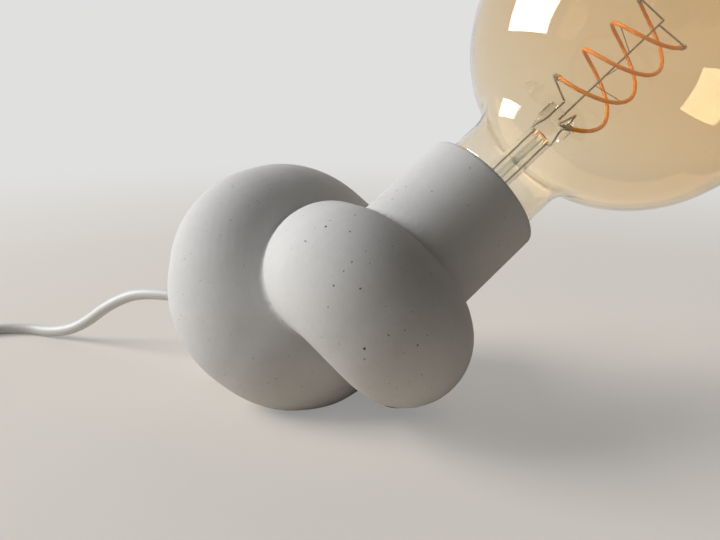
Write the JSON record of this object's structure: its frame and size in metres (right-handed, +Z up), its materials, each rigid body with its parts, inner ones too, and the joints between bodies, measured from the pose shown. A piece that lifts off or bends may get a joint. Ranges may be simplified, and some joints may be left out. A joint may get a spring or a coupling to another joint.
{
  "type": "table lamp",
  "caption": "Concrete tube tied in an overhand knot as a table lamp: a leaning socket end holds a large amber globe filament bulb, and a white cord leaves the low end.",
  "frame": {"origin": "on the table under the middle of the lamp's box, without the free cord", "axes": "X is the way the bulb leans and the longest side of the lamp, Y goes away from the viewer, Z is up"},
  "size_m": [0.4929, 0.2629, 0.196],
  "materials": {
    "concrete": "cast, matte, fine pores",
    "foot_rubber": "matte",
    "steel": "zinc plated",
    "phenolic": "moulded",
    "porcelain": "unglazed white",
    "brass": "rolled",
    "brown_insulation": "satin",
    "blue_insulation": "satin",
    "cord_sheath": "satin white",
    "white_plastic": "semi-gloss white",
    "tie_band": "woven band",
    "nickel": "nickel plated",
    "pin_insulation": "satin",
    "amber_glass": "amber, polished",
    "clear_glass": "clear",
    "black_insulator": "black glass",
    "filament": "phosphor coated",
    "wire": "drawn",
    "board": "solder mask",
    "electronics": "moulded"
  },
  "bodies": {
    "lamp_body": {"centre_contact": "brass", "coil_tie": "tie_band", "concrete_arm": "concrete", "concrete_cord_end": "concrete", "concrete_front_base": "concrete", "concrete_front_bulge": "concrete", "concrete_front_top": "concrete", "concrete_loop_back": "concrete", "concrete_loop_base": "concrete", "concrete_loop_crown": "concrete", "concrete_loop_left": "concrete", "concrete_loop_passage": "concrete", "concrete_loop_top": "concrete", "concrete_socket": "concrete", "concrete_under_arm": "concrete", "contact_rivets": "brass", "cord_coil": "cord_sheath", "cord_in_duct": "cord_sheath", "cord_lead": "cord_sheath", "cord_link": "cord_sheath", "cord_relief": "cord_sheath", "cord_tail": "cord_sheath", "foot_pad_1": "foot_rubber", "foot_pad_2": "foot_rubber", "foot_pad_3": "foot_rubber", "foot_pad_4": "foot_rubber", "holder_cap": "phenolic", "holder_insert": "porcelain", "holder_skirt": "phenolic", "live_conductor": "brown_insulation", "live_terminal": "brass", "lock_nut": "steel", "neutral_conductor": "blue_insulation", "neutral_terminal": "brass", "pin_sleeves": "pin_insulation", "plug_body": "white_plastic", "plug_pins": "nickel", "plug_relief": "cord_sheath", "rocker_pin": "steel", "screw_shell": "brass", "switch_base": "white_plastic", "switch_cover": "white_plastic", "switch_screws": "steel", "terminal_screws": "steel", "threaded_nipple": "steel"},
    "bulb_carrier": {"cap_contact": "nickel"},
    "bulb": {"bulb_glass": "amber_glass", "bulb_cap": "nickel", "cap_insulator": "black_insulator", "bulb_stem": "clear_glass", "exhaust_tube": "clear_glass", "lead_wires": "wire", "support_wire": "wire", "filament_1": "filament", "filament_2": "filament", "filament_clips": "wire", "driver_board": "board", "driver_parts": "electronics"},
    "rocker": {"switch_rocker": "white_plastic"}
  },
  "joints": [
    {"name": "bulb_lift", "type": "slide", "parent": "lamp_body", "child": "bulb_carrier", "axis": [0.7955, 0, 0.606], "range_m": [0, 0.0092]},
    {"name": "bulb_turn", "type": "hinge", "parent": "bulb_carrier", "child": "bulb", "pos_m": [-0.0115, -0.018, 0.082], "axis": [0.7955, 0, 0.606], "range_deg": [0, 900]},
    {"name": "rocker_tilt", "type": "hinge", "parent": "lamp_body", "child": "rocker", "pos_m": [-0.24219, 0.10071, 0.0115], "axis": [0.7581, -0.6521, 0], "range_deg": [0, 16]}
  ],
  "couplings": [
    {"joint": "bulb_lift", "follows": "bulb_turn", "m_per_rad": 0.00057773}
  ]
}
